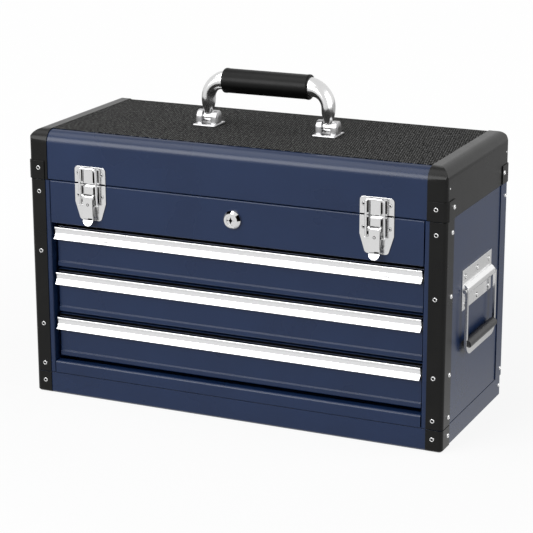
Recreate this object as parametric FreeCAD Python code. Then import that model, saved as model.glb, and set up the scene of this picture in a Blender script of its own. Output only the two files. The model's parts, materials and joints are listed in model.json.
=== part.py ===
import FreeCAD, Part
import math
import os

# Portable steel tool box: a case with three drawers under a hinged lid.
# Millimetres, X to the right, Y to the back, Z up. The origin is the middle
# of the bottom face, and the front looks along -Y.

vec = FreeCAD.Vector

# Driving sizes of the box
box_width = 520.0  # over the black corner trims
box_depth = 214.0
base_height = 26.5  # top of the band round the bottom
seam_height = 265.5  # where the lid parts from the case
lid_height = 59.5
sheet = 1.0  # folded steel of the case, the lid and the drawers
trim_sheet = 1.0  # corner angles and end caps
corner_round = 5.0  # upright outside corners
bend = 1.5  # outer radius of a plain fold
seat_gap = 0.1  # between nested skins of one body
seam_gap = 0.9  # open joint lines that show
run_gap = 0.3  # between parts that move past each other
pin_gap = 0.05  # radial clearance of a shaft in its hole
overrun = 5.0  # how far a cutter passes the face it cuts
small_flats = 12  # sides of small round things that repeat
flats_turn = 0.5  # part of a side that the first corner is turned by

# Case
stile_inset = 25.5  # from the outside of the box to the drawer opening
stile_return = 14.0  # the fold that goes inwards beside the drawers
panel_height = 51.0  # fixed front panel above the drawers
rail_height = 15.1  # rail below the drawers
rail_round = 3.0
rail_depth = 12.0
fold_flange = 10.0
base_flange = 8.0
base_edge_cut = 2.4
slope_share = 2 - math.sqrt(2)  # what a slope loses for each thickness, from the outside to the inside
trim_front = 20.0
trim_side = 25.0
back_wrap = 24.5  # how far the back panel comes round each side
cap_lift = 0.6  # base corner caps end this far above the ground

# Lid
lid_front_round = 16.0
lid_back_round = 6.0
cap_side_round = 14.0
cap_width = 23.5
lid_hem = 6.0
bracket_sheet = 1.2
bracket_height = 22.0
mat_sheet = 0.8
mat_back_margin = 0.6  # painted strip left bare behind the mat

# Drawers
drawer_count = 3
sill_gap = 4.4
head_gap = 3.0
drawer_gap = 2.5
front_side_gap = 3.5
face_recess = 9.4  # drawer faces lie behind the case front
drawer_length = 186.0
drawer_floor_lift = 3.0
drawer_side_drop = 8.5
front_return = 9.0
crease_height = 6.0
crease_step = 1.2

# Drawer pulls
pull_height = 14.6
pull_drop = 3.8
pull_top_lip = 6.7
pull_cove = 3.2
pull_bottom_lip = 9.1
pull_lip_edge = 1.6
pull_cove_round = 7.0
pull_edge_round = 0.6

# Drawer runners
slide_space = 12.7
runner_height = 32.0
runner_lap = 8.0  # how far each member reaches across the space
runner_length = 180.0
slide_length = 176.0

# Rear hinges, one near each end
hinge_inset = 100.0  # from the end of the box to the middle of a hinge
hinge_width = 66.0
hinge_knuckles = 3
hinge_leaf = 20.0
hinge_sheet = 1.2
knuckle_radius = 3.4
hinge_pin_radius = 1.5

# Carry handle
bracket_spacing = 152.8  # between the middles of the two brackets
bracket_width = 28.0
bracket_depth = 30.0
bracket_plate = 2.5
ear_outer = 26.0
ear_gap = 11.4
ear_round = 8.0
pivot_rise = 10.0  # handle pivot above the mat
handle_pin_radius = 2.6
foot_radius = 5.8  # rounded end of each leg, about its pin
foot_half_width = 5.4
handle_rise = 44.8  # from the pivot to the middle of the grip
handle_bend = 22.0
bar_radius = 12.0  # the round part inside the grip
leg_half_width = 5.2
leg_half_depth = 7.4
taper_turn = math.pi / 4  # the tube is fully round this far into its bend
bend_steps = 5
handle_flats = 14
grip_radius = 14.7
grip_length = 108.6
grip_flats = 36

# Latches
latch_inset = 81.0  # from the end of the box to the middle of a latch
latch_width = 40.5
latch_sheet = 1.2
latch_corner = 4.5
keeper_height = 20.5
keeper_box_height = 16.5
latch_box_width = 13.0
latch_box_depth = 4.9
latch_box_round = 1.6
latch_base_drop = 43.2  # from the seam down to the plate's lower edge
latch_taper_drop = 21.8
latch_foot_width = 27.0
base_box_height = 9.2
latch_pin_drop = 14.0  # from the seam down to the lever's pin
latch_pin_out = 4.4  # from the base plate out to the pin
latch_pin_radius = 1.5
ear_thickness = 1.1
ear_head = 3.0
ear_cut = 1.2
lever_half = 6.4
lever_sheet = 0.9
lever_out = 2.9  # from the pin out to the lever's face
lever_back = 3.2
lever_length = 26.5  # from the pin down to the bend of the finger tab
tab_kick = 2.0
tab_drop = 7.5
bail_drop = 9.9  # from the lever's pin down to the bail's pivot
bail_wire = 1.3
bail_half = 10.9
bail_bend = 3.0

# Lock
lock_offset = 4.0
lock_drop = 23.2  # from the seam down to the middle of the lock
lock_ring_radius = 10.8
lock_ring_out = 6.0
lock_ring_edge = 0.5
lock_flats = 32
lock_body_radius = 8.0
lock_body_length = 13.0
lock_plug_radius = 5.4
lock_plug_out = 5.6
keyway_long = 6.4
keyway_short = 2.6
keyway_waist = 1.2
keyway_depth = 3.0
lock_nut_across = 22.0
lock_nut_thick = 3.0
cam_length = 20.0
cam_width = 9.0
cam_sheet = 1.6
strike_sheet = 1.5
strike_width = 13.0
strike_side_gap = 0.8
strike_room = 3.2  # from the cam's back to the outside of the strike

# Side handles
side_centre = 1.0  # middle of the side handle behind the middle of the box
side_top = 197.0
side_plate_width = 101.0
side_plate_height = 47.0
side_plate_sheet = 1.5
side_pivot_drop = 24.0
side_pivot_out = 4.2
ridge_radius = 7.4
trunnion_radius = 2.2
trunnion_length = 12.0
side_bail_width = 104.0
side_bail_drop = 75.0  # from the pivot to the lower edge of the bail
side_bar_width = 4.5
side_bar_thick = 3.0
side_bar_lead = 0.8  # the arms stand this far out from the pivot
side_foot_width = 7.2  # lower bar of the bail, under the grip
side_bail_bend = 15.0
side_inner_bend = 8.0
side_grip_across = 10.6

# Places that follow from the sizes above
half_width = box_width / 2
half_depth = box_depth / 2
hinge_offset = half_width - hinge_inset
latch_offset = half_width - latch_inset
skin_x = half_width - trim_sheet - seat_gap
skin_y = half_depth - trim_sheet - seat_gap
base_top = base_height - seam_gap / 2
case_bottom = base_height + seam_gap / 2
case_top = seam_height - seam_gap / 2
lid_bottom = seam_height + seam_gap / 2
opening_half = half_width - stile_inset
panel_bottom = seam_height - panel_height
lid_top = seam_height + lid_height
rail_top = base_height + rail_height
floor_top = base_top + sheet
shell_top = lid_top - trim_sheet - seat_gap
mat_top = shell_top + mat_sheet
drawer_pitch = (panel_bottom - rail_top - sill_gap - head_gap + drawer_gap) / drawer_count
front_height = drawer_pitch - drawer_gap
front_half = opening_half - front_side_gap
face_y = face_recess - skin_y
drawer_half = opening_half - slide_space
latch_face = -skin_y - latch_sheet
latch_pin_z = seam_height - latch_pin_drop
latch_pin_y = latch_face - latch_pin_out
bail_pivot_z = latch_pin_z - bail_drop
box_front = latch_face - latch_box_depth
handle_pivot = mat_top + pivot_rise
hinge_y = half_depth + knuckle_radius + run_gap
lock_z = seam_height - lock_drop
side_pivot_z = side_top - side_pivot_drop
side_pivot_x = skin_x + side_pivot_out
axis_x = vec(1, 0, 0)
axis_y = vec(0, 1, 0)
axis_z = vec(0, 0, 1)


def block(x_span, y_span, z_span):
    corner = vec(x_span[0], y_span[0], z_span[0])
    size = (x_span[1] - x_span[0], y_span[1] - y_span[0], z_span[1] - z_span[0])
    return Part.makeBox(size[0], size[1], size[2], corner)


def rod(radius, start, end):
    run = end - start
    return Part.makeCylinder(radius, run.Length, start, run)


def corner_arc(before, corner, after, radius):
    # The arc that rounds one corner, with its first and last points.
    back = (before - corner).normalize()
    ahead = (after - corner).normalize()
    half_angle = back.getAngle(ahead) / 2
    reach = radius / math.tan(half_angle)
    middle = (back + ahead).normalize() * (radius / math.sin(half_angle) - radius)
    first = corner + back * reach
    last = corner + ahead * reach
    return first, last, Part.Arc(first, corner + middle, last).toShape()


def rounded_edges(points, rounds, closed):
    # Straight runs joined by tangent arcs. A round of zero leaves a corner sharp.
    count = len(points)
    pieces = []
    starts = []
    for index, point in enumerate(points):
        is_end = not closed and index in (0, count - 1)
        if is_end or not rounds[index]:
            starts.append((point, point, None))
            continue
        following = points[(index + 1) % count]
        starts.append(corner_arc(points[index - 1], point, following, rounds[index]))
    for index, (first, last, arc) in enumerate(starts):
        if arc:
            pieces.append(arc)
        if index == count - 1 and not closed:
            break
        following = starts[(index + 1) % count][0]
        if (following - last).Length > Part.Precision.confusion():
            pieces.append(Part.makeLine(last, following))
    return pieces


def place(normal, first, second, level):
    # Puts an outline's two coordinates on the plane square to the named axis.
    if normal == "x":
        return vec(level, first, second)
    if normal == "y":
        return vec(first, level, second)
    return vec(first, second, level)


def prism(normal, points, rounds, start, end):
    # A straight solid with a rounded outline, between two levels of one axis.
    if not isinstance(rounds, (list, tuple)):
        rounds = [rounds] * len(points)
    spots = [place(normal, first, second, start) for first, second in points]
    wire = Part.Wire(Part.__sortEdges__(rounded_edges(spots, rounds, True)))
    run = place(normal, 0, 0, end) - place(normal, 0, 0, 0) - place(normal, 0, 0, start)
    return Part.Face(wire).extrude(run)


def rectangle(first_span, second_span):
    return [
        (first_span[0], second_span[0]),
        (first_span[1], second_span[0]),
        (first_span[1], second_span[1]),
        (first_span[0], second_span[1]),
    ]


def folded(normal, line, rounds, thickness, start, end):
    # Folded sheet: line is its outer face, and its metal lies to the left of it.
    spots = [vec(first, second, 0) for first, second in line]
    count = len(spots)
    inner = []
    inner_rounds = []
    outer_rounds = [0] + list(rounds) + [0]
    for index, spot in enumerate(spots):
        runs = []
        if index > 0:
            runs.append((spot - spots[index - 1]).normalize())
        if index < count - 1:
            runs.append((spots[index + 1] - spot).normalize())
        lefts = [vec(-run.y, run.x, 0) for run in runs]
        total = lefts[0] if len(lefts) == 1 else lefts[0] + lefts[1]
        total.normalize()
        inner.append(spot + total * (thickness / total.dot(lefts[0])))
        turns_left = len(runs) == 2 and runs[0].cross(runs[1]).z > 0
        change = -thickness if turns_left else thickness
        radius = outer_rounds[index]
        inner_rounds.append(max(radius + change, 0) if radius else 0)
    points = [(spot.x, spot.y) for spot in spots + inner[::-1]]
    return prism(normal, points, outer_rounds + inner_rounds[::-1], start, end)


def mirrored_x(shape):
    return shape.mirror(vec(0, 0, 0), axis_x)


def mirrored_y(shape):
    return shape.mirror(vec(0, 0, 0), axis_y)


def flat_ring(centre, first, second, flats):
    # A closed ring of short flats about an oval with these two half axes.
    spots = []
    for side in range(flats):
        angle = (side + flats_turn) * 2 * math.pi / flats
        spots.append(centre + first * math.cos(angle) + second * math.sin(angle))
    return Part.makePolygon(spots + spots[:1])


def bar_of_flats(radius, start, end, flats):
    # A bar or bore with flats in place of its round face.
    run = end - start
    side = axis_z if abs(run.z) < overrun / 2 else axis_y
    across = side.cross(run).normalize()
    ring = flat_ring(start, side * radius, across * radius, flats)
    return Part.Face(ring).extrude(run)


def wire_rod(points, radius):
    # A thin wire with flats along it, over straight runs with mitred corners.
    across = (points[1] - points[0]).normalize().cross(axis_y)
    ring = flat_ring(points[0], across * radius, axis_y * radius, small_flats)
    return Part.makePolygon(points).makePipeShell([ring], True, False, 1)


def rounded_plan(x_half, y_front, y_back, radius, z_span):
    points = rectangle((-x_half, x_half), (y_front, y_back))
    return prism("z", points, radius, z_span[0], z_span[1])


def tub(x_half, y_half, radius, edge_cut, z_span):
    # A block with rounded upright edges and a narrow slope round the bottom.
    shape = rounded_plan(x_half, -y_half, y_half, radius, z_span)
    edges = [edge for edge in shape.Edges if edge.BoundBox.ZMax - z_span[0] < edge_cut / 2]
    return shape.makeChamfer(edge_cut, edges)


# Case


def base_pan():
    radius = corner_round - trim_sheet
    outer = tub(skin_x, skin_y, radius, base_edge_cut, (0, base_top))
    inner_cut = base_edge_cut - sheet * slope_share
    inner = tub(skin_x - sheet, skin_y - sheet, radius - sheet, inner_cut, (sheet, base_top - sheet))
    mouth = block(
        (-skin_x + base_flange, skin_x - base_flange),
        (-skin_y + base_flange, skin_y - base_flange),
        (base_top - base_flange, base_top + overrun),
    )
    return outer.cut(inner).cut(mouth)


def base_corner_caps():
    outer = tub(half_width, half_depth, corner_round, base_edge_cut, (0, base_top))
    inner_round = corner_round - trim_sheet
    inner = tub(skin_x + seat_gap, skin_y + seat_gap, inner_round, base_edge_cut, (0, base_top + overrun))
    keep = block(
        (half_width - trim_front, half_width + overrun),
        (-half_depth - overrun, -half_depth + trim_side),
        (cap_lift, base_top + overrun),
    )
    cap = outer.cut(inner).common(keep)
    return Part.makeCompound([cap, mirrored_x(cap)])


def plain_floor(bottom):
    inside_x = skin_x - sheet
    return rounded_plan(inside_x, -skin_y + bend + seat_gap, skin_y, corner_round, (bottom, bottom + sheet))


def side_panel():
    line = [(skin_x, case_bottom), (skin_x, case_top), (skin_x - fold_flange, case_top)]
    return folded("y", line, [bend], sheet, corner_round - skin_y, skin_y - corner_round)


def back_panel():
    line = [
        (half_width, half_depth - back_wrap),
        (half_width, half_depth),
        (-half_width, half_depth),
        (-half_width, half_depth - back_wrap),
    ]
    return folded("z", line, [corner_round, corner_round], trim_sheet, case_bottom, case_top)


def inner_walls():
    top = panel_bottom
    line = [
        (opening_half + fold_flange, top),
        (opening_half, top),
        (opening_half, floor_top),
        (opening_half + fold_flange, floor_top),
    ]
    wall = folded("y", line, [0, 0], sheet, stile_return - skin_y, skin_y - corner_round)
    return Part.makeCompound([wall, mirrored_x(wall)])


def front_stiles():
    line = [
        (opening_half, stile_return - skin_y),
        (opening_half, -skin_y),
        (skin_x - corner_round, -skin_y),
    ]
    stile = folded("z", line, [bend], sheet, case_bottom, case_top)
    floor = plain_floor(base_top)
    till = plain_floor(panel_bottom)
    stile = stile.cut(floor).cut(till)
    return Part.makeCompound([stile, mirrored_x(stile)])


def front_panel():
    back = fold_flange - skin_y
    line = [
        (back, case_top),
        (-skin_y, case_top),
        (-skin_y, panel_bottom - sheet),
        (back, panel_bottom - sheet),
    ]
    half = opening_half - seam_gap
    shape = folded("x", line, [bend, bend], sheet, -half, half)
    hole = rod(
        lock_body_radius + pin_gap,
        vec(lock_offset, -skin_y - overrun, lock_z),
        vec(lock_offset, -skin_y + overrun, lock_z),
    )
    return shape.cut(hole)


def bottom_rail():
    back = rail_depth - skin_y
    line = [
        (back, rail_top - fold_flange),
        (back, rail_top),
        (-skin_y, rail_top),
        (-skin_y, case_bottom),
    ]
    half = opening_half - seam_gap
    return folded("x", line, [bend, rail_round], sheet, -half, half)


def corner_angle(x_face, y_face, leg_x, leg_y, thickness, radius, z_span):
    line = [(x_face - leg_x, -y_face), (x_face, -y_face), (x_face, -y_face + leg_y)]
    return folded("z", line, [radius], thickness, z_span[0], z_span[1])


def corner_trim():
    z_span = (case_bottom, case_top)
    return corner_angle(half_width, half_depth, trim_front, trim_side, trim_sheet, corner_round, z_span)


# Drawers and their runners


def drawer_bottom(index):
    return rail_top + sill_gap + index * drawer_pitch


def drawer_box(index):
    low = drawer_bottom(index)
    high = low + front_height
    crease = low + crease_height
    step = face_y - crease_step
    line = [
        (face_y + front_return, high),
        (face_y, high),
        (face_y, crease + crease_step),
        (step, crease),
        (step, low),
        (face_y + front_return, low),
    ]
    rounds = [bend, 0, 0, bend]
    face = folded("x", line, rounds, sheet, -front_half, front_half)
    ends = []
    depth = (face_y + sheet, face_y + front_return)
    for x in (-front_half, front_half - sheet):
        ends.append(block((x, x + sheet), depth, (low + sheet, high - sheet)))
    back = face_y + drawer_length
    floor = low + drawer_floor_lift
    brim = high - drawer_side_drop
    outer = block((-drawer_half, drawer_half), (face_y, back), (floor, brim))
    inner = block(
        (sheet - drawer_half, drawer_half - sheet),
        (face_y + sheet, back - sheet),
        (floor + sheet, brim + overrun),
    )
    return face.fuse(ends).fuse(outer.cut(inner)).removeSplitter()


def drawer_pull(index):
    low = drawer_bottom(index) + front_height - pull_drop - pull_height
    high = low + pull_height
    points = [
        (face_y, low),
        (face_y, high),
        (face_y - pull_top_lip, high),
        (face_y - pull_top_lip, high - pull_lip_edge),
        (face_y - pull_cove, (low + high) / 2),
        (face_y - pull_bottom_lip, low + pull_lip_edge),
        (face_y - pull_bottom_lip, low),
    ]
    rounds = [0, 0, pull_edge_round, 0, pull_cove_round, 0, pull_edge_round]
    return prism("x", points, rounds, -front_half, front_half)


def runner_middle(index):
    return drawer_bottom(index) + front_height / 2


def runner_start():
    return face_y + front_return + run_gap


def drawer_runners():
    members = []
    for index in range(drawer_count):
        middle = runner_middle(index)
        web = opening_half
        low = middle - runner_height / 2
        high = middle + runner_height / 2
        line = [(web - runner_lap, low), (web, low), (web, high), (web - runner_lap, high)]
        start = runner_start()
        member = folded("y", line, [0, 0], sheet, start, start + runner_length)
        members += [member, mirrored_x(member)]
    return Part.makeCompound(members)


def drawer_slides(index):
    middle = runner_middle(index)
    reach = runner_height / 2 - sheet - run_gap
    web = drawer_half
    line = [
        (web + runner_lap, middle + reach),
        (web, middle + reach),
        (web, middle - reach),
        (web + runner_lap, middle - reach),
    ]
    start = runner_start()
    member = folded("y", line, [0, 0], sheet, start, start + slide_length)
    return Part.makeCompound([member, mirrored_x(member)])


# Lid


def lid_shell():
    line = [
        (skin_y - lid_hem, lid_bottom),
        (skin_y, lid_bottom),
        (skin_y, shell_top),
        (-skin_y, shell_top),
        (-skin_y, lid_bottom),
        (lid_hem - skin_y, lid_bottom),
    ]
    inset = trim_sheet + seat_gap
    rounds = [bend, lid_back_round - inset, lid_front_round - inset, bend]
    half = half_width - cap_side_round
    return folded("x", line, rounds, sheet, -half, half)


def cap_form(inset, low):
    # The end of the lid as the meeting of three rounded outlines.
    x_out = half_width - inset
    y_out = half_depth - inset
    top = lid_top - inset
    flank = rectangle((-y_out, y_out), (low, top))
    flank_rounds = [0, 0, lid_back_round - inset, lid_front_round - inset]
    front = rectangle((-x_out, x_out), (low, top))
    front_rounds = [0, 0, cap_side_round - inset, cap_side_round - inset]
    plan = rectangle((-x_out, x_out), (-y_out, y_out))
    shape = prism("x", flank, flank_rounds, -x_out, x_out)
    shape = shape.common(prism("y", front, front_rounds, -y_out, y_out))
    return shape.common(prism("z", plan, corner_round - inset, low, top))


def lid_cap():
    shape = cap_form(0, lid_bottom).cut(cap_form(trim_sheet, lid_bottom - overrun))
    keep = block(
        (half_width - cap_width, half_width + overrun),
        (-half_depth - overrun, half_depth + overrun),
        (lid_bottom, lid_top + overrun),
    )
    return shape.common(keep)


def lid_corner_brackets():
    out = bracket_sheet + seat_gap
    bracket = corner_angle(
        half_width + out,
        half_depth + out,
        trim_front + out,
        trim_side,
        bracket_sheet,
        corner_round + out,
        (lid_bottom, lid_bottom + bracket_height),
    )
    pair = [bracket, mirrored_x(bracket)]
    return Part.makeCompound(pair + [mirrored_y(shape) for shape in pair])


def lid_mat():
    half = half_width - cap_width - seat_gap
    front = lid_front_round - half_depth
    back = skin_y - lid_back_round - mat_back_margin
    points = rectangle((-half, half), (front, back))
    return prism("z", points, 0, shell_top, mat_top)


# Rear hinges


def hinge_leaf_shape(face, first_z, second_z, own):
    # A leaf with every second knuckle, on one side of the seam.
    outward = 1 if second_z > first_z else -1
    axis_gap = (knuckle_radius + run_gap) * outward
    leaf_start = hinge_offset - hinge_width / 2
    leaf_end = hinge_offset + hinge_width / 2
    strip = block(
        (leaf_start, leaf_end),
        (face, face + hinge_sheet),
        sorted((seam_height + axis_gap, second_z)),
    )
    pitch = hinge_width / hinge_knuckles
    for index in range(own, hinge_knuckles, 2):
        start = leaf_start + index * pitch + run_gap / 2
        end = start + pitch - run_gap
        ends = (vec(start, hinge_y, seam_height), vec(end, hinge_y, seam_height))
        knuckle = bar_of_flats(knuckle_radius, ends[0], ends[1], small_flats)
        root = block(
            (start, end),
            (face, hinge_y - knuckle_radius / 2),
            sorted((first_z, seam_height + axis_gap)),
        )
        strip = strip.fuse(root).fuse(knuckle)
    return strip


def hinge_shaft(radius):
    # The pin's length between the two outer knuckles.
    reach = hinge_width / hinge_knuckles / 2 + run_gap
    start = vec(hinge_offset - reach, hinge_y, seam_height)
    return rod(radius, start, vec(hinge_offset + reach, hinge_y, seam_height))


def hinge_case_leaves():
    first = seam_height - hinge_pin_radius
    leaf = hinge_leaf_shape(half_depth, first, seam_height - hinge_leaf, 0)
    return both(leaf.fuse(hinge_shaft(hinge_pin_radius)).removeSplitter())


def hinge_lid_leaves():
    first = seam_height + hinge_pin_radius
    leaf = hinge_leaf_shape(skin_y, first, seam_height + hinge_leaf, 1)
    return both(leaf.cut(hinge_shaft(hinge_pin_radius + pin_gap)).removeSplitter())


# Carry handle


def handle_bracket():
    middle = bracket_spacing / 2
    half = bracket_width / 2
    depth = bracket_depth / 2
    plate_top = mat_top + bracket_plate
    plate = block((middle - half, middle + half), (-depth, depth), (mat_top, plate_top))
    outline = [
        (-ear_round, mat_top),
        (ear_round, mat_top),
        (ear_round, handle_pivot + ear_round),
        (-ear_round, handle_pivot + ear_round),
    ]
    arch = ear_round - seat_gap
    ears = []
    for turn in (-1, 1):
        inner = middle + turn * ear_gap / 2
        outer = middle + turn * ear_outer / 2
        ears.append(prism("x", outline, [0, 0, arch, arch], min(inner, outer), max(inner, outer)))
    reach = ear_outer / 2
    pin = rod(handle_pin_radius, vec(middle - reach, 0, handle_pivot), vec(middle + reach, 0, handle_pivot))
    return plate.fuse(ears + [pin]).removeSplitter()


def handle_ring(centre, outward, half_in_plane, half_across):
    return flat_ring(centre, outward * half_in_plane, axis_y * half_across, handle_flats)


def smooth_share(share):
    return share * share * (3 - 2 * share)


def handle_rings():
    # Sections of the right half, from the foot of the leg to the round bar.
    leg_x = bracket_spacing / 2
    turn_x = leg_x - handle_bend
    turn_z = handle_pivot + handle_rise - handle_bend
    foot_z = handle_pivot + foot_radius
    leg_run = turn_z - foot_z
    sections = [(vec(leg_x, 0, foot_z), axis_x, leg_half_width, leg_half_depth)]
    for step in range(bend_steps + 1):
        angle = step / bend_steps * math.pi / 2
        outward = vec(math.cos(angle), 0, math.sin(angle))
        run = leg_run + handle_bend * angle
        growth = smooth_share(min(run / (leg_run + handle_bend * taper_turn), 1))
        width = leg_half_width + (bar_radius - leg_half_width) * growth
        depth = leg_half_depth + (bar_radius - leg_half_depth) * growth
        sections.append((vec(turn_x, 0, turn_z) + outward * handle_bend, outward, width, depth))
    return sections


def handle_tube():
    # A round bar whose legs are bent down and pressed flat, one loft from foot to foot.
    right = handle_rings()
    left = []
    for centre, outward, width, depth in reversed(right):
        left.append((vec(-centre.x, 0, centre.z), vec(-outward.x, 0, outward.z), width, depth))
    bar = Part.makeLoft([handle_ring(*section) for section in right + left], True, True)
    foot_outline = [
        (-foot_radius, handle_pivot - foot_radius),
        (foot_radius, handle_pivot - foot_radius),
        (foot_radius, handle_pivot + foot_radius),
        (-foot_radius, handle_pivot + foot_radius),
    ]
    foot_round = foot_radius - seat_gap
    leg_x = bracket_spacing / 2
    foot = prism(
        "x",
        foot_outline,
        [foot_round, foot_round, 0, 0],
        leg_x - foot_half_width,
        leg_x + foot_half_width,
    )
    hole_radius = (handle_pin_radius + pin_gap) / math.cos(math.pi / small_flats)
    start = vec(leg_x - ear_gap, 0, handle_pivot)
    foot = foot.cut(bar_of_flats(hole_radius, start, start + axis_x * ear_gap * 2, small_flats))
    return bar.fuse([foot, mirrored_x(foot)])


def handle_grip():
    # A sleeve pushed over the bar.
    bar_z = handle_pivot + handle_rise
    start = vec(-grip_length / 2, 0, bar_z)
    end = vec(grip_length / 2, 0, bar_z)
    outer = bar_of_flats(grip_radius, start, end, grip_flats)
    margin = axis_x * overrun
    inner_radius = (bar_radius + seat_gap) / math.cos(math.pi / grip_flats)
    inner = bar_of_flats(inner_radius, start - margin, end + margin, grip_flats)
    return outer.cut(inner)


# Latches


def raised_box(z_span):
    # The pressed box in the middle of a latch plate.
    plan = [
        (latch_offset - latch_box_width / 2, latch_face),
        (latch_offset - latch_box_width / 2, box_front),
        (latch_offset + latch_box_width / 2, box_front),
        (latch_offset + latch_box_width / 2, latch_face),
    ]
    return prism("z", plan, [0, latch_box_round, latch_box_round, 0], z_span[0], z_span[1])


def latch_keeper():
    half = latch_width / 2
    high = lid_bottom + keeper_height
    outline = rectangle((latch_offset - half, latch_offset + half), (lid_bottom, high))
    plate = prism("y", outline, [0, 0, latch_corner, latch_corner], latch_face, -skin_y)
    low = lid_bottom + latch_box_round
    return plate.fuse(raised_box((low, low + keeper_box_height))).removeSplitter()


def latch_base():
    half = latch_width / 2
    foot = latch_foot_width / 2
    top = case_top
    low = seam_height - latch_base_drop
    taper = seam_height - latch_taper_drop
    outline = [
        (latch_offset - half, top),
        (latch_offset + half, top),
        (latch_offset + half, taper),
        (latch_offset + foot, low),
        (latch_offset - foot, low),
        (latch_offset - half, taper),
    ]
    plate = prism("y", outline, [0, 0, 0, latch_corner, latch_corner, 0], latch_face, -skin_y)
    box_high = top - latch_sheet
    shape = plate.fuse(raised_box((box_high - base_box_height, box_high)))
    ear_in = lever_half + run_gap
    tip = latch_pin_y - ear_head
    ear_outline = [
        (latch_face, latch_pin_z - ear_head),
        (tip + ear_cut, latch_pin_z - ear_head),
        (tip, latch_pin_z - ear_head + ear_cut),
        (tip, latch_pin_z + ear_head - ear_cut),
        (tip + ear_cut, latch_pin_z + ear_head),
        (latch_face, latch_pin_z + ear_head),
    ]
    for turn in (-1, 1):
        ends = sorted((latch_offset + turn * ear_in, latch_offset + turn * (ear_in + ear_thickness)))
        shape = shape.fuse(prism("x", ear_outline, 0, ends[0], ends[1]))
    reach = ear_in + ear_thickness
    pin = rod(
        latch_pin_radius,
        vec(latch_offset - reach, latch_pin_y, latch_pin_z),
        vec(latch_offset + reach, latch_pin_y, latch_pin_z),
    )
    return shape.fuse(pin).removeSplitter()


def latch_lever():
    face = latch_pin_y - lever_out
    back = latch_pin_y + lever_back
    bend_z = latch_pin_z - lever_length
    ends = (latch_offset - lever_half, latch_offset + lever_half)
    line = [
        (face, latch_pin_z),
        (face, bend_z),
        (face - tab_kick, bend_z - tab_drop),
    ]
    plate = folded("x", line, [0], lever_sheet, ends[0], ends[1])
    flank = [
        (face, latch_pin_z + lever_out),
        (latch_pin_y + lever_out, latch_pin_z + lever_out),
        (latch_pin_y + lever_out, latch_pin_z),
        (back, latch_pin_z - bail_drop),
        (face + lever_sheet, bend_z),
        (face, bend_z),
    ]
    arch = lever_out - seat_gap
    rounds = [arch, arch, 0, 0, 0, 0]
    shape = plate
    for start in (ends[0], ends[1] - lever_sheet):
        shape = shape.fuse(prism("x", flank, rounds, start, start + lever_sheet))
    tip = bend_z - tab_drop
    outline = [
        (ends[0], tip),
        (ends[1], tip),
        (ends[1], latch_pin_z + ear_head),
        (ends[0], latch_pin_z + ear_head),
    ]
    tab_round = lever_half - seat_gap
    mask = prism("y", outline, [tab_round, tab_round, 0, 0], face - latch_width, back + overrun)
    shape = shape.common(mask)
    flat_share = math.cos(math.pi / small_flats)
    for z, radius in ((latch_pin_z, latch_pin_radius), (bail_pivot_z, bail_wire)):
        start = vec(latch_offset - latch_width, latch_pin_y, z)
        end = vec(latch_offset + latch_width, latch_pin_y, z)
        shape = shape.cut(bar_of_flats((radius + pin_gap) / flat_share, start, end, small_flats))
    return shape.removeSplitter()


def latch_bail():
    top_y = box_front - run_gap - bail_wire
    top_z = lid_bottom + latch_box_round + keeper_box_height + bail_wire
    inner = lever_half - lever_sheet - bail_wire
    side = [
        vec(inner, latch_pin_y, bail_pivot_z),
        vec(bail_half, latch_pin_y, bail_pivot_z),
        vec(bail_half, top_y, top_z - bail_bend),
        vec(bail_half - bail_bend, top_y, top_z),
    ]
    centre = vec(latch_offset, 0, 0)
    points = [centre + spot for spot in side]
    points += [centre + vec(-spot.x, spot.y, spot.z) for spot in reversed(side)]
    flush = axis_x * bail_wire * math.cos(math.pi / small_flats)
    pivots = []
    for tip, corner in ((points[0], points[1] + flush), (points[-1], points[-2] - flush)):
        pivots.append(bar_of_flats(bail_wire, tip, corner, small_flats))
    return wire_rod(points[1:-1], bail_wire).fuse(pivots).removeSplitter()


# Lock


def on_lock(depth):
    return vec(lock_offset, depth, lock_z)


def lock_barrel():
    front = -skin_y
    rings = []
    for radius, out in ((lock_ring_radius, 0), (lock_body_radius + lock_ring_edge, lock_ring_out)):
        rings.append(flat_ring(on_lock(front - out), axis_x * radius, axis_z * radius, lock_flats))
    bevel = Part.makeLoft(rings, True, True)
    nut_back = on_lock(front + sheet + lock_nut_thick)
    body = bar_of_flats(lock_body_radius, on_lock(front - seat_gap), nut_back, lock_flats)
    bore_radius = (lock_plug_radius + pin_gap) / math.cos(math.pi / lock_flats)
    bore_start = on_lock(front - lock_ring_out - overrun)
    bore = bar_of_flats(bore_radius, bore_start, nut_back + axis_y * overrun, lock_flats)
    return bevel.fuse([body, lock_nut()]).cut(bore).removeSplitter()


def lock_plug():
    front = -skin_y - lock_plug_out
    back = lock_body_length - skin_y + seat_gap
    shape = rod(lock_plug_radius, on_lock(front), on_lock(back))
    tall = keyway_long / 2
    wide = keyway_short / 2
    waist = keyway_waist / 2
    quarter = [(0, tall), (waist, waist), (wide, 0), (waist, -waist)]
    star = [(lock_offset + x, lock_z + z) for x, z in quarter]
    star += [(lock_offset - x, lock_z - z) for x, z in quarter]
    return shape.cut(prism("y", star, 0, front - overrun, front + keyway_depth))


def lock_cam():
    # Unlocked it stands up beside the strike. A quarter turn brings it over the strike's foot.
    front = lock_body_length - skin_y + seat_gap
    half = cam_width / 2
    points = [
        (lock_offset - half, lock_z - half),
        (lock_offset + half, lock_z - half),
        (lock_offset + half, lock_z + cam_length),
        (lock_offset - half, lock_z + cam_length),
    ]
    end_round = half - seat_gap
    return prism("y", points, [end_round, end_round, 0, 0], front, front + cam_sheet)


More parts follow.
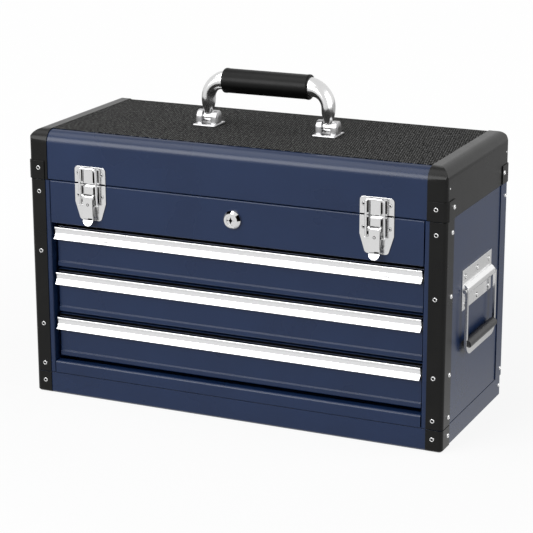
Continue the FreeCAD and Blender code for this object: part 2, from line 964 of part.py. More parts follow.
def lid_strike():
    # An angle on the lid's front hem, with a foot that the lock's cam holds down.
    cam_front = lock_body_length - skin_y + seat_gap
    back = cam_front + cam_sheet + strike_room
    foot_top = lock_z - cam_width / 2 - run_gap
    first = lock_offset + cam_width / 2 + strike_side_gap
    line = [
        (bend + seat_gap - skin_y, lid_bottom + sheet),
        (back, lid_bottom + sheet),
        (back, foot_top - strike_sheet),
        (cam_front - run_gap, foot_top - strike_sheet),
    ]
    return folded("x", line, [0, 0], strike_sheet, first, first + strike_width)


def lock_nut():
    radius = lock_nut_across / 2 / math.cos(math.pi / 6)
    start = sheet - skin_y
    points = []
    for side in range(6):
        angle = side * math.pi / 3
        points.append((lock_offset + radius * math.cos(angle), lock_z + radius * math.sin(angle)))
    return prism("y", points, 0, start, start + lock_nut_thick)


# Side handles


def side_handle_plate():
    half = side_plate_width / 2
    y_span = (side_centre - half, side_centre + half)
    outline = rectangle(y_span, (side_top - side_plate_height, side_top))
    front = skin_x + side_plate_sheet
    plate = prism("x", outline, 0, skin_x, front)
    reach = ridge_half()
    ridge = rod(
        ridge_radius,
        vec(skin_x, side_centre - reach, side_pivot_z),
        vec(skin_x, side_centre + reach, side_pivot_z),
    )
    ridge = ridge.cut(
        block(
            (skin_x - ridge_radius - overrun, skin_x),
            (side_centre - half, side_centre + half),
            (side_pivot_z - ridge_radius - overrun, side_pivot_z + ridge_radius + overrun),
        )
    )
    bore = rod(
        trunnion_radius + pin_gap,
        vec(side_pivot_x, side_centre - half - overrun, side_pivot_z),
        vec(side_pivot_x, side_centre + half + overrun, side_pivot_z),
    )
    return plate.fuse(ridge).cut(bore).removeSplitter()


def ridge_half():
    return side_bail_width / 2 - side_bar_width - run_gap


def side_bail():
    half = side_bail_width / 2
    low = side_pivot_z - side_bail_drop
    x_in = side_pivot_x + side_bar_lead
    x_out = x_in + side_bar_thick
    outer = rectangle((side_centre - half, side_centre + half), (low, side_pivot_z))
    frame = prism("x", outer, [side_bail_bend, side_bail_bend, 0, 0], x_in, x_out)
    inner_half = half - side_bar_width
    inner = rectangle(
        (side_centre - inner_half, side_centre + inner_half),
        (low + side_foot_width, side_pivot_z + overrun),
    )
    bends = [side_inner_bend, side_inner_bend, 0, 0]
    frame = frame.cut(prism("x", inner, bends, x_in - overrun, x_out + overrun))
    pieces = []
    for turn in (-1, 1):
        outer_y = side_centre + turn * half
        inner_y = side_centre + turn * inner_half
        tip = vec(side_pivot_x, inner_y - turn * trunnion_length, side_pivot_z)
        outer = vec(side_pivot_x, outer_y, side_pivot_z)
        pieces.append(bar_of_flats(trunnion_radius, tip, outer, small_flats))
    return frame.fuse(pieces).removeSplitter()


def side_grip():
    half = side_bail_width / 2 - side_bar_width - seat_gap
    low = side_pivot_z - side_bail_drop + side_foot_width + seat_gap
    high = low + side_grip_across
    middle = side_pivot_x + side_bar_lead + side_bar_thick / 2
    reach = side_grip_across / 2
    outline = rectangle((middle - reach, middle + reach), (low, high))
    ends = (side_centre - half, side_centre + half)
    shape = prism("y", outline, reach - seat_gap, ends[0], ends[1])
    # The lower corners of the bail are round, so the grip's ends are too.
    corners = [side_inner_bend, side_inner_bend, 0, 0]
    mask = rectangle(ends, (low, high))
    return shape.common(prism("x", mask, corners, middle - side_bail_width, middle + side_bail_width))


def both(shape):
    return Part.makeCompound([shape, mirrored_x(shape)])


def pair(name, shape):
    return {name + "_right": shape, name + "_left": mirrored_x(shape)}


def all_nodes():
    nodes = {
        "base_pan": base_pan(),
        "base_corner_caps": base_corner_caps(),
        "case_floor": plain_floor(base_top),
        "compartment_floor": plain_floor(panel_bottom),
        "back_panel": back_panel(),
        "inner_walls": inner_walls(),
        "front_stiles": front_stiles(),
        "front_panel": front_panel(),
        "bottom_rail": bottom_rail(),
        "drawer_runners": drawer_runners(),
        "lock_barrel": lock_barrel(),
        "lock_plug": lock_plug(),
        "lock_cam": lock_cam(),
        "hinge_case_leaves": hinge_case_leaves(),
        "hinge_lid_leaves": hinge_lid_leaves(),
        "lid_shell": lid_shell(),
        "lid_corner_brackets": lid_corner_brackets(),
        "lid_mat": lid_mat(),
        "lid_strike": lid_strike(),
        "handle_brackets": both(handle_bracket()),
        "handle_tube": handle_tube(),
        "handle_grip": handle_grip(),
    }
    nodes.update(pair("side_panel", side_panel()))
    nodes.update(pair("corner_trim", corner_trim()))
    nodes.update(pair("lid_cap", lid_cap()))
    nodes.update(pair("latch_keeper", latch_keeper()))
    nodes.update(pair("latch_base", latch_base()))
    nodes.update(pair("latch_lever", latch_lever()))
    nodes.update(pair("latch_bail", latch_bail()))
    nodes.update(pair("side_handle_plate", side_handle_plate()))
    nodes.update(pair("side_handle_bail", side_bail()))
    nodes.update(pair("side_handle_grip", side_grip()))
    for index in range(drawer_count):
        label = "drawer_" + str(index + 1)
        nodes[label + "_box"] = drawer_box(index)
        nodes[label + "_pull"] = drawer_pull(index)
        nodes[label + "_slides"] = drawer_slides(index)
    return nodes


os.makedirs("parts", exist_ok=True)
for name, shape in all_nodes().items():
    shape.exportStep("parts/" + name + ".step")
    print(name, len(shape.Solids), round(shape.Volume), shape.isValid())
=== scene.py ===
import json
from math import atan2, cos, degrees, pi, radians, sin

import bmesh
import bpy
from mathutils import Matrix, Vector


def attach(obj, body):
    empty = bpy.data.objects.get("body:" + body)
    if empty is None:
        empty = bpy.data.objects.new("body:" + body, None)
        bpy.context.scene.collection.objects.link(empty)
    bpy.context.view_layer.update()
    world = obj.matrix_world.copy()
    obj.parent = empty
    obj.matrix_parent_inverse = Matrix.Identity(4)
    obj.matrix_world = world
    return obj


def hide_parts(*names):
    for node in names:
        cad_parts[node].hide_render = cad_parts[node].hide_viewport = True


# Looks of the drawer tool box. Shapes are worked in millimetres and brought to metres when a piece is made.
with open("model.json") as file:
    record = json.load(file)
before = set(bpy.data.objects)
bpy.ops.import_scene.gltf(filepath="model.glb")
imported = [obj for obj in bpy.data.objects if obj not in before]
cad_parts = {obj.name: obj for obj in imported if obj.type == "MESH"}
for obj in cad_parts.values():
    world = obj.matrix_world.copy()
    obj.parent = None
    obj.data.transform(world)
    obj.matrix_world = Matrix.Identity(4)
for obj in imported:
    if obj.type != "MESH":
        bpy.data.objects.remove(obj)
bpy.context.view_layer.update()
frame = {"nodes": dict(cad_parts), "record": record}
bodyOf = {node: body for body, nodes in frame["record"]["behaviour"]["bodies"].items() for node in nodes}
print("frame loaded:", len(frame["nodes"]), "nodes")


def hexColour(text):
    # sRGB hex to the linear values that Blender's sockets take
    channels = [int(text[i:i + 2], 16) / 255 for i in (1, 3, 5)]
    return [c / 12.92 if c <= 0.04045 else ((c + 0.055) / 1.055) ** 2.4 for c in channels] + [1.0]


def perMetre(millimetres):
    # texture scale for a pattern that repeats at this size
    return 1000 / millimetres


def addNode(tree, kind, values=(), links=()):
    node = tree.nodes.new(kind)
    for name, value in dict(values).items():
        if isinstance(name, int) or name in node.inputs:
            node.inputs[name].default_value = value
        else:
            setattr(node, name, value)
    for name, source in dict(links).items():
        tree.links.new(source, node.inputs[name])
    return node


def newMaterial(name):
    material = bpy.data.materials.new(name)
    material.use_nodes = True
    tree = material.node_tree
    spot = addNode(tree, "ShaderNodeTexCoord").outputs["Object"]
    return material, tree, tree.nodes["Principled BSDF"], spot


def noiseOf(tree, spot, size, detail, roughness=0.5):
    # noise of this size in millimetres, or with a size for each axis
    scale = 1.0
    if isinstance(size, tuple):
        stretch = addNode(tree, "ShaderNodeMapping", {"Scale": [perMetre(each) for each in size]},
                          {"Vector": spot})
        spot = stretch.outputs["Vector"]
    else:
        scale = perMetre(size)
    return addNode(tree, "ShaderNodeTexNoise", {"Scale": scale, "Detail": detail, "Roughness": roughness},
                   {"Vector": spot}).outputs["Fac"]


def coating(name, value):
    # One noise, the cloud, moves the roughness and the tint. The skin is a bump of its own noise, or of the
    # cloud where it has none. Sizes and heights are in millimetres.
    material, tree, shader, spot = newMaterial(name)
    cloud = noiseOf(tree, spot, value["cloud"], value["cloudDetail"], value.get("cloudRoughness", 0.5))
    rough = addNode(tree, "ShaderNodeMapRange", {"To Min": value["rough"][0], "To Max": value["rough"][1]},
                    {"Value": cloud})
    tree.links.new(rough.outputs["Result"], shader.inputs["Roughness"])
    if "second" in value:
        tint = addNode(tree, "ShaderNodeMix", {"data_type": "RGBA", 6: hexColour(value["colour"]),
                                               7: hexColour(value["second"])}, {"Factor": cloud})
        tree.links.new(tint.outputs[2], shader.inputs["Base Color"])
    else:
        shader.inputs["Base Color"].default_value = hexColour(value["colour"])
    if "skinHeight" in value:
        height = noiseOf(tree, spot, value["skin"], value["skinDetail"]) if "skin" in value else cloud
        bump = addNode(tree, "ShaderNodeBump", {"Strength": value["skinStrength"],
                                                "Distance": value["skinHeight"] / 1000}, {"Height": height})
        tree.links.new(bump.outputs["Normal"], shader.inputs["Normal"])
    for key, socket in (("ior", "IOR"), ("metal", "Metallic"), ("gloss", "Specular IOR Level")):
        if key in value:
            shader.inputs[socket].default_value = value[key]
    return material


# what each finish is called here: its material and its slot in the record
finish = {}

# Baked enamel sprayed on folded steel: deep and wet looking, with a faint orange peel
# that only shows where a reflection breaks up.
enamel = {"colour": "#11203c", "second": "#162848", "rough": (0.25, 0.31), "ior": 1.35, "cloud": 70.0,
          "cloudDetail": 3.0, "skin": 2.2, "skinDetail": 1.0, "skinStrength": 0.35, "skinHeight": 0.02}
finish["enamel"] = (coating("bakedEnamelBlue", enamel), "blue_paint")

# Powder coat baked on the steel corner pieces: satin black with a tight grainy skin
# that greys where it is seen at a low angle.
powder = {"colour": "#0b0b0b", "second": "#131312", "rough": (0.24, 0.34), "ior": 1.25, "cloud": 30.0,
          "cloudDetail": 4.0, "skin": 0.9, "skinDetail": 2.0, "skinStrength": 0.4, "skinHeight": 0.03}
finish["powder"] = (coating("powderCoatBlack", powder), "black_trim")

# Bright nickel plating on pressed steel: nearly a mirror, gently wavy from the press, with a little haze.
# The brackets are cast, so their plating is duller; the side plates' brighter copy of it is painted light.
plating = {"colour": "#d6d6d6", "rough": (0.19, 0.24), "metal": 1.0, "cloud": 4.0, "cloudDetail": 4.0,
           "skin": 9.0, "skinDetail": 1.0, "skinStrength": 0.3, "skinHeight": 0.02}
castPlating = {**plating, "colour": "#b9b9ba", "rough": (0.26, 0.36)}
brightenedPlating = {**plating, "colour": "#f2f2f2"}
finish["plating"] = (coating("nickelPlatedSteel", plating), "bright_plating")
finish["cast"] = (coating("nickelPlatedCasting", castPlating), "bright_plating")
finish["plate"] = (coating("nickelPlatingBrightened", brightenedPlating), "bright_plating")

# Clear anodised aluminium extrusion: soft white metal with fine draw lines along its length.
anodised = {"colour": "#e0e0e1", "rough": (0.18, 0.2), "metal": 1.0, "cloud": (90.0, 0.8, 0.8),
            "cloudDetail": 3.0, "skinStrength": 0.3, "skinHeight": 0.0005}
finish["aluminium"] = (coating("anodisedAluminium", anodised), "satin_aluminium")

# Zinc plated steel of the runners and hinges: grey, a little cloudy.
zinc = {"colour": "#b4b7b9", "second": "#9c9fa2", "rough": (0.28, 0.45), "metal": 1.0, "cloud": 12.0,
        "cloudDetail": 5.0}
finish["zinc"] = (coating("zincPlatedSteel", zinc), "plain_steel")

# Embossed PVC sheet glued on the lid: dark grey, raised lozenges in slanting rows whose tops are lighter,
# a painted highlight. They are about a millimetre apart on the real sheet and drawn as coarse as they need
# to show.
matSheet = {"low": "#020202", "top": "#717170", "pitch": 3.8, "turn": 32.0, "order": 0.2, "speck": 2.6,
            "speckDetail": 2.0, "from": 0.47, "to": 0.82, "height": 0.5, "strength": 0.6, "rough": 0.75,
            "ior": 1.12}


def embossedVinyl():
    material, tree, shader, spot = newMaterial("embossedVinyl")
    turned = addNode(tree, "ShaderNodeMapping", {"Rotation": (0, 0, radians(matSheet["turn"]))},
                     {"Vector": spot})
    parts = addNode(tree, "ShaderNodeSeparateXYZ", links={"Vector": turned.outputs["Vector"]})
    waves = []
    everyPitch = 2 * pi * perMetre(matSheet["pitch"])
    for axis in ("X", "Y"):
        # a sine of this pitch along each slanting direction
        turns = addNode(tree, "ShaderNodeMath", {"operation": "MULTIPLY", 1: everyPitch},
                        {0: parts.outputs[axis]})
        waves.append(addNode(tree, "ShaderNodeMath", {"operation": "SINE"}, {0: turns.outputs[0]}))
    cells = addNode(tree, "ShaderNodeMath", {"operation": "MULTIPLY"},
                    {0: waves[0].outputs[0], 1: waves[1].outputs[0]})
    speck = noiseOf(tree, spot, matSheet["speck"], matSheet["speckDetail"])
    mixed = addNode(tree, "ShaderNodeMath", {"operation": "MULTIPLY_ADD", 1: matSheet["order"]},
                    {0: cells.outputs[0], 2: speck})
    # colour follows the height: darkest low down and lightest on the raised tops, painted shade and
    # highlight
    ramp = addNode(tree, "ShaderNodeValToRGB", links={"Fac": mixed.outputs[0]})
    for stop, position, colour in zip(ramp.color_ramp.elements, ("from", "to"), ("low", "top")):
        stop.position = matSheet[position]
        stop.color = hexColour(matSheet[colour])
    bump = addNode(tree, "ShaderNodeBump",
                   {"Strength": matSheet["strength"], "Distance": matSheet["height"] / 1000},
                   {"Height": mixed.outputs[0]})
    shader.inputs["Roughness"].default_value = matSheet["rough"]
    shader.inputs["IOR"].default_value = matSheet["ior"]
    tree.links.new(ramp.outputs["Color"], shader.inputs["Base Color"])
    tree.links.new(bump.outputs["Normal"], shader.inputs["Normal"])
    return material


finish["mat"] = (embossedVinyl(), "ribbed_mat")

# Soft PVC sleeve pushed over the bar: black, satin, with shallow creases running round it.
sleeve = {"colour": "#060606", "rough": (0.3, 0.45), "ior": 1.22, "cloud": (7.0, 40.0, 40.0),
          "cloudDetail": 4.0, "cloudRoughness": 0.6, "skinStrength": 0.35, "skinHeight": 0.3}
finish["sleeve"] = (coating("softVinyl", sleeve), "grip_black")

# Moulded plastic of the side grips: hard black with a fine matt grain.
moulded = {"colour": "#18181a", "rough": (0.34, 0.5), "cloud": 0.7, "cloudDetail": 2.0, "skinStrength": 0.3,
           "skinHeight": 0.03}
finish["plastic"] = (coating("mouldedPolypropylene", moulded), "grip_black")

# Painted shade for holes, gaps and deeply shaded strips: almost black, and it gives no reflection.
shadeFinish = {"colour": "#040404", "rough": (0.5, 0.8), "gloss": 0.0, "cloud": 1.0, "cloudDetail": 2.0}
finish["shadow"] = (coating("paintedShadeBlack", shadeFinish), "black_trim")
print("materials made:", len(finish))


def makePiece(bm, name, finishName, body, stands=(), smoothFrom=32.0, extra=()):
    # turns a worked mesh into a piece that rides on its body; smoothFrom is the angle kept as a crisp edge
    mesh = bpy.data.meshes.new(name)
    bm.to_mesh(mesh)
    bm.free()
    for key in (finishName, *extra):
        mesh.materials.append(finish[key][0])
    mesh.shade_smooth()
    mesh.set_sharp_from_angle(angle=radians(smoothFrom))
    piece = bpy.data.objects.new(name, mesh)
    bpy.context.scene.collection.objects.link(piece)
    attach(piece, body)
    if stands:
        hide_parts(*stands)
    return piece


def toMetres(bm):
    bmesh.ops.scale(bm, vec=(0.001, 0.001, 0.001), verts=bm.verts)


def edgesOf(verts):
    return {edge for vert in verts for edge in vert.link_edges}


def paintFaces(verts, index):
    for face in {face for vert in verts for face in vert.link_faces}:
        face.material_index = index


def roundEdges(bm, edges, width, segments=2):
    return bmesh.ops.bevel(bm, geom=list(edges), offset=width, offset_type="OFFSET", segments=segments,
                           profile=0.5, affect="EDGES", clamp_overlap=True, material=-1)


def addBlock(bm, low, high, edge=0.0):
    # a plain block between two corners, with its edges rounded when asked
    made = bmesh.ops.create_cube(bm, size=1.0)["verts"]
    low, high = Vector(low), Vector(high)
    place = Matrix.Translation((low + high) / 2) @ Matrix.Diagonal((*(high - low), 1))
    bmesh.ops.transform(bm, matrix=place, verts=made)
    if edge:
        roundEdges(bm, edgesOf(made), edge)
    return made


# turns that bring a piece's own z axis to the direction it faces
facing = {"-y": Matrix.Rotation(pi / 2, 4, "X"), "y": Matrix.Rotation(-pi / 2, 4, "X"),
          "x": Matrix.Rotation(pi / 2, 4, "Y"), "-x": Matrix.Rotation(-pi / 2, 4, "Y")}


def addRod(bm, radius, length, segments, place, direction):
    # a closed cylinder with its middle at the place
    made = bmesh.ops.create_cone(bm, cap_ends=True, segments=segments, radius1=radius, radius2=radius,
                                 depth=length)["verts"]
    bmesh.ops.transform(bm, matrix=Matrix.Translation(place) @ facing[direction], verts=made)
    return made


def turnedShape(bm, points, axis, steps, closed=True):
    # an outline turned once round an axis through the origin
    verts = [bm.verts.new(point) for point in points]
    following = verts[1:] + verts[:1] if closed else verts[1:]
    edges = [bm.edges.new(pair) for pair in zip(verts, following)]
    bmesh.ops.spin(bm, geom=verts + edges, cent=(0, 0, 0), axis=axis, dvec=(0, 0, 0), angle=2 * pi,
                   steps=steps, use_merge=True, use_duplicate=False)
    bmesh.ops.remove_doubles(bm, verts=bm.verts, dist=0.001)
    bmesh.ops.recalc_face_normals(bm, faces=bm.faces)


def cornersOf(node):
    # the lowest and the highest corner of a CAD node, in millimetres
    piece = frame["nodes"][node]
    spots = [piece.matrix_world @ vert.co * 1000 for vert in piece.data.vertices]
    return [Vector([pick(spot[axis] for spot in spots) for axis in range(3)]) for pick in (min, max)]


# CAD shapes that get eased edges: loose triangles join within a distance, faces become whole where they
# turn less than flatUnder, and folds sharper than foldOver are rounded. Millimetres and degrees.
dressing = {"joined": 0.002, "flatUnder": 0.8, "foldOver": 30.0}


def dressedCopy(node, finishName, edgeRound):
    bm = bmesh.new()
    bm.from_mesh(frame["nodes"][node].data)
    bmesh.ops.remove_doubles(bm, verts=bm.verts, dist=dressing["joined"] / 1000)
    bmesh.ops.dissolve_limit(bm, angle_limit=radians(dressing["flatUnder"]), verts=bm.verts, edges=bm.edges)
    if edgeRound:
        folds = [edge for edge in bm.edges
                 if edge.is_manifold and edge.calc_face_angle(0) > radians(dressing["foldOver"])]
        roundEdges(bm, folds, edgeRound / 1000)
    piece = makePiece(bm, node + "_dressed", finishName, bodyOf[node], [node])
    flat = piece.modifiers.new("flatFaces", "WEIGHTED_NORMAL")
    flat.keep_sharp = True


# nodes whose own shape is right: finish, then how far each edge is eased in millimetres
dressed = {
    "base_pan": ("enamel", 0.3),
    "side_panel_right": ("enamel", 0.25), "side_panel_left": ("enamel", 0.25),
    "back_panel": ("enamel", 0.25),
    "front_stiles": ("enamel", 0.25), "front_panel": ("enamel", 0.25), "bottom_rail": ("enamel", 0.25),
    "lid_shell": ("enamel", 0.25),
    "drawer_1_box": ("enamel", 0.25), "drawer_2_box": ("enamel", 0.25), "drawer_3_box": ("enamel", 0.25),
    "base_corner_caps": ("powder", 0.25),
    "corner_trim_right": ("powder", 0.25), "corner_trim_left": ("powder", 0.25),
    "lid_cap_right": ("powder", 0.25), "lid_cap_left": ("powder", 0.25),
    "lid_corner_brackets": ("powder", 0.3),
    "lid_mat": ("mat", 0.2),
    "drawer_1_pull": ("aluminium", 0), "drawer_2_pull": ("aluminium", 0), "drawer_3_pull": ("aluminium", 0),
    "latch_keeper_right": ("plating", 0.35), "latch_keeper_left": ("plating", 0.35),
    "latch_base_right": ("plating", 0.3), "latch_base_left": ("plating", 0.3),
    "latch_lever_right": ("plating", 0.2), "latch_lever_left": ("plating", 0.2),
    "latch_bail_right": ("plating", 0), "latch_bail_left": ("plating", 0),
    "lock_plug": ("plating", 0.15),
    "side_handle_plate_right": ("plate", 0.3), "side_handle_plate_left": ("plate", 0.3),
    "side_handle_bail_right": ("plating", 0.7), "side_handle_bail_left": ("plating", 0.7),
    "side_handle_grip_right": ("plastic", 0.6), "side_handle_grip_left": ("plastic", 0.6),
    "hinge_case_leaves": ("zinc", 0.2), "hinge_lid_leaves": ("zinc", 0.2),
}
for node, (finishName, edgeRound) in dressed.items():
    dressedCopy(node, finishName, edgeRound)
print("dressed copies:", len(dressed))

# nodes that stay as they are and only get a finish
plainNodes = {
    "case_floor": "enamel", "compartment_floor": "enamel", "inner_walls": "enamel",
    "drawer_runners": "zinc", "drawer_1_slides": "zinc", "drawer_2_slides": "zinc",
    "drawer_3_slides": "zinc", "lock_cam": "zinc", "lid_strike": "zinc",
}
for node, finishName in plainNodes.items():
    slots = frame["nodes"][node].data.materials
    if not slots:
        slots.append(finish[finishName][0])
    for index in range(len(slots)):
        slots[index] = finish[finishName][0]
print("plain nodes finished:", len(plainNodes))

# Carry handle: a bent tube, round under the sleeve and pressed flat towards its pins. Widths are half
# widths, inPlane along the bend's radius and across from front to back. They grow over legAfter, deepAfter.
handle = {"legX": 76.4, "pivotZ": 334.7, "gripZ": 379.5, "bend": 22.0, "footRound": 5.8, "footHalf": 5.4,
          "footEdge": 1.0, "footAround": 32, "inPlane": 5.3, "leg": 7.3, "legAfter": 11.0, "legSteps": 5,
          "across": 7.8, "deepAfter": 18.0, "bar": 12.0, "bendSteps": 12, "around": 40}


def easedTo(end, start, share):
    share = min(share, 1.0)
    return start + (end - start) * share * share * (3 - 2 * share)


def handleSections():
    # centre, angle round the bend and half widths of each section from the right foot to the straight bar
    turnX = handle["legX"] - handle["bend"]
    turnZ = handle["gripZ"] - handle["bend"]
    footZ = handle["pivotZ"] + handle["footRound"]
    spots = []
    for step in range(handle["legSteps"]):
        run = (turnZ - footZ) * step / handle["legSteps"]
        spots.append((Vector((handle["legX"], 0, footZ + run)), 0.0, run))
    for step in range(handle["bendSteps"] + 1):
        angle = pi / 2 * step / handle["bendSteps"]
        spot = Vector((turnX + handle["bend"] * cos(angle), 0, turnZ + handle["bend"] * sin(angle)))
        spots.append((spot, angle, turnZ - footZ + handle["bend"] * angle))
    sections = []
    for spot, angle, run in spots:
        inPlane = easedTo(handle["leg"], handle["inPlane"], run / handle["legAfter"])
        inPlane += (handle["bar"] - handle["leg"]) * (angle / (pi / 2)) ** 2
        across = easedTo(handle["bar"], handle["across"], run / handle["deepAfter"])
        sections.append((spot, angle, inPlane, across))
    return sections


def handleTube():
    bm = bmesh.new()
    right = handleSections()
    left = [(Vector((-spot.x, 0, spot.z)), pi - angle, inPlane, across)
            for spot, angle, inPlane, across in right]
    rings = []
    for spot, angle, inPlane, across in right + left[::-1]:
        made = bmesh.ops.create_circle(bm, cap_ends=False, segments=handle["around"], radius=1.0)["verts"]
        outward = Vector((cos(angle), 0, sin(angle)))
        along = outward.cross(Vector((0, 1, 0)))
        shape = Matrix((outward * inPlane, Vector((0, across, 0)), along)).transposed().to_4x4()
        bmesh.ops.transform(bm, matrix=Matrix.Translation(spot) @ shape, verts=made)
        rings.append(edgesOf(made))
    for first, second in zip(rings, rings[1:]):
        bmesh.ops.bridge_loops(bm, edges=list(first | second))
    for edges in (rings[0], rings[-1]):
        bmesh.ops.holes_fill(bm, edges=list(edges), sides=0)
    bmesh.ops.recalc_face_normals(bm, faces=bm.faces)
    for side in (-1, 1):
        # the foot: a rounded tongue between the bracket's ears
        made = addRod(bm, handle["footRound"], 2 * handle["footHalf"], handle["footAround"],
                      (side * handle["legX"], 0, handle["pivotZ"]), "x")
        rim = [edge for edge in edgesOf(made) if edge.calc_face_angle(0) > radians(60)]
        roundEdges(bm, rim, handle["footEdge"], 3)
    toMetres(bm)
    makePiece(bm, "handleTubeBent", "plating", "carry_handle", ["handle_tube"])


# Sleeve: a plain tube whose ends stand a little proud as a lip
grip = {"half": 54.3, "radius": 14.7, "bore": 12.1, "edge": 1.2, "cut": 0.4, "lip": 0.35, "lipLength": 3.0,
        "lipSlope": 1.5, "steps": 56}


def handleGrip():
    bm = bmesh.new()
    half, radius, lipEnd = grip["half"], grip["radius"], grip["lipLength"] - grip["half"]
    outline = [(-half, grip["bore"]), (-half, radius - grip["edge"]),
               (-half + grip["cut"], radius - grip["cut"]), (-half + grip["edge"], radius),
               (lipEnd, radius), (lipEnd + grip["lipSlope"], radius - grip["lip"])]
    outline += [(-x, r) for x, r in reversed(outline)]
    turnedShape(bm, [(x, 0, r) for x, r in outline], (1, 0, 0), grip["steps"])
    bmesh.ops.translate(bm, vec=(0, 0, handle["gripZ"]), verts=bm.verts)
    toMetres(bm)
    makePiece(bm, "handleSleeve", "sleeve", "carry_handle", ["handle_grip"], 40.0)


# Brackets of the carry handle: a thick plate with two upright ears, and the pin's ends riveted over
bracket = {"width": 28.0, "depth": 30.0, "plate": 2.5, "plateEdge": 0.7, "low": 324.7, "earIn": 5.7,
           "earOut": 13.0, "earHalf": 8.0, "earSunk": 0.2, "arch": 7.7, "archSteps": 10, "edge": 0.9,
           "pin": 2.6, "pinShort": 0.5, "pinHead": 2.3, "pinProud": 0.35, "around": 24, "apart": 1.0}


def bracketEar(bm, middle, turn):
    top = handle["pivotZ"] + bracket["earHalf"]
    near, far = sorted((middle + turn * bracket["earIn"], middle + turn * bracket["earOut"]))
    made = addBlock(bm, (near, -bracket["earHalf"], bracket["low"] + bracket["earSunk"]),
                    (far, bracket["earHalf"], top))
    crown = [edge for edge in edgesOf(made) if all(end.co.z > top - bracket["apart"] for end in edge.verts)
             and abs(edge.verts[0].co.x - edge.verts[1].co.x) > bracket["apart"]]
    grown = roundEdges(bm, crown, bracket["arch"], bracket["archSteps"])
    verts = {vert for vert in made if vert.is_valid} | set(grown["verts"])
    rim = [edge for edge in edgesOf(verts) if edge.calc_face_angle(0) > radians(60)
           and sum(end.co.z for end in edge.verts) > 2 * bracket["low"] + bracket["apart"]]
    roundEdges(bm, rim, bracket["edge"])


def handleBrackets():
    bm = bmesh.new()
    halfWidth, halfDepth, low = bracket["width"] / 2, bracket["depth"] / 2, bracket["low"]
    for side in (-1, 1):
        middle = side * handle["legX"]
        addBlock(bm, (middle - halfWidth, -halfDepth, low),
                 (middle + halfWidth, halfDepth, low + bracket["plate"]), bracket["plateEdge"])
        for turn in (-1, 1):
            bracketEar(bm, middle, turn)
        for radius, half in ((bracket["pin"], bracket["earOut"] - bracket["pinShort"]),
                             (bracket["pinHead"], bracket["earOut"] + bracket["pinProud"])):
            addRod(bm, radius, 2 * half, bracket["around"], (middle, 0, handle["pivotZ"]), "x")
    toMetres(bm)
    makePiece(bm, "handleBrackets", "cast", "lid", ["handle_brackets"])


handleTube()
handleGrip()
handleBrackets()
print("carry handle made")

# Draw latches: painted shade in black strips, for the wire's shadow on both plates, the shaded flanks of
# the pressed boxes and the dark seam between the plates, and on the lever for the shade at its tab, along
# its flanks and in its dimple. The wire's shadow, the half widths and the gap are measured from the latch's
# middle, boxOut and flankOut from the face. Heights are from the floor, the gap's from the keeper's lower
# edge. A tab mark is its left, right, low and high.
latch = {"middle": 179.0, "face": -107.1, "leverFace": -114.4, "proud": 0.12, "sunk": 0.3,
         "wireShadow": (9.7, 11.7), "keeperSlot": (268.5, 283.0), "baseSlot": (243.5, 263.2), "boxHalf": 6.5,
         "boxOut": (0.5, 4.2), "keeperBox": (268.6, 282.0), "baseBox": (254.5, 262.2), "gapFrom": 12.2,
         "gapInset": 0.4, "gapHeights": (0.05, 1.1),
         "tabMarks": ((0.2, 5.6, 224.3, 226.5), (-5.6, 0.2, 225.1, 225.6)),
         "leverHalf": 6.4, "flankOut": (0.5, 1.9), "flankHeights": (229.0, 247.0), "dimpleZ": 242.5,
         "dimple": 1.7, "dimpleFill": 1.05, "around": 24}


def besideMiddle(middle, turn, near, far):
    return sorted((middle + turn * near, middle + turn * far))


def plateGap(bm, middle, word):
    # painted shade of the gap between the two plates, a black strip on the keeper's lower edge
    low, high = cornersOf("latch_keeper_" + word)
    reach = max(high.x - middle, middle - low.x) - latch["gapInset"]
    for turn in (-1, 1):
        near, far = besideMiddle(middle, turn, latch["gapFrom"], reach)
        addBlock(bm, (near, latch["face"] - latch["proud"], low.z + latch["gapHeights"][0]),
                 (far, latch["face"] + latch["sunk"], low.z + latch["gapHeights"][1]))


def latchShadeStrips(side, word, part):
    bm = bmesh.new()
    middle, face, proud, sunk = side * latch["middle"], latch["face"], latch["proud"], latch["sunk"]
    wireShadow, box = latch[part + "Slot"], latch[part + "Box"]
    if part == "keeper":
        plateGap(bm, middle, word)
    # each side: the wire's shadow painted on the plate, and painted shade on the box's flank
    for turn in (-1, 1):
        near, far = besideMiddle(middle, turn, *latch["wireShadow"])
        addBlock(bm, (near, face - proud, wireShadow[0]), (far, face + sunk, wireShadow[1]))
        near, far = besideMiddle(middle, turn, latch["boxHalf"] - sunk, latch["boxHalf"] + proud)
        addBlock(bm, (near, face - latch["boxOut"][1], box[0]), (far, face - latch["boxOut"][0], box[1]))
    toMetres(bm)
    makePiece(bm, part + "ShadeStrips_" + word, "shadow", bodyOf["latch_%s_%s" % (part, word)])


def leverMarks(side, word):
    bm = bmesh.new()
    middle, face, proud, sunk = side * latch["middle"], latch["leverFace"], latch["proud"], latch["sunk"]
    # painted shade at the bend over the tab and along the lever's flanks
    for left, right, low, high in latch["tabMarks"]:
        addBlock(bm, (middle + left, face - proud, low), (middle + right, face + sunk, high))
    for turn in (-1, 1):
        near, far = besideMiddle(middle, turn, latch["leverHalf"] - sunk, latch["leverHalf"] + proud)
        addBlock(bm, (near, face + latch["flankOut"][0], latch["flankHeights"][0]),
                 (far, face + latch["flankOut"][1], latch["flankHeights"][1]))
    # the dimple: a black ring of painted shade round its plated middle
    for radius, index, depth in ((latch["dimple"], 0, proud), (latch["dimpleFill"], 1, 2 * proud)):
        made = addRod(bm, radius, 2 * depth, latch["around"], (middle, face, latch["dimpleZ"]), "-y")
        paintFaces(made, index)
    toMetres(bm)
    makePiece(bm, "leverMarks_" + word, "shadow", bodyOf["latch_lever_" + word], extra=["plating"])


for side, word in ((-1, "left"), (1, "right")):
    latchShadeStrips(side, word, "keeper")
    latchShadeStrips(side, word, "base")
    leverMarks(side, word)
print("latches detailed")
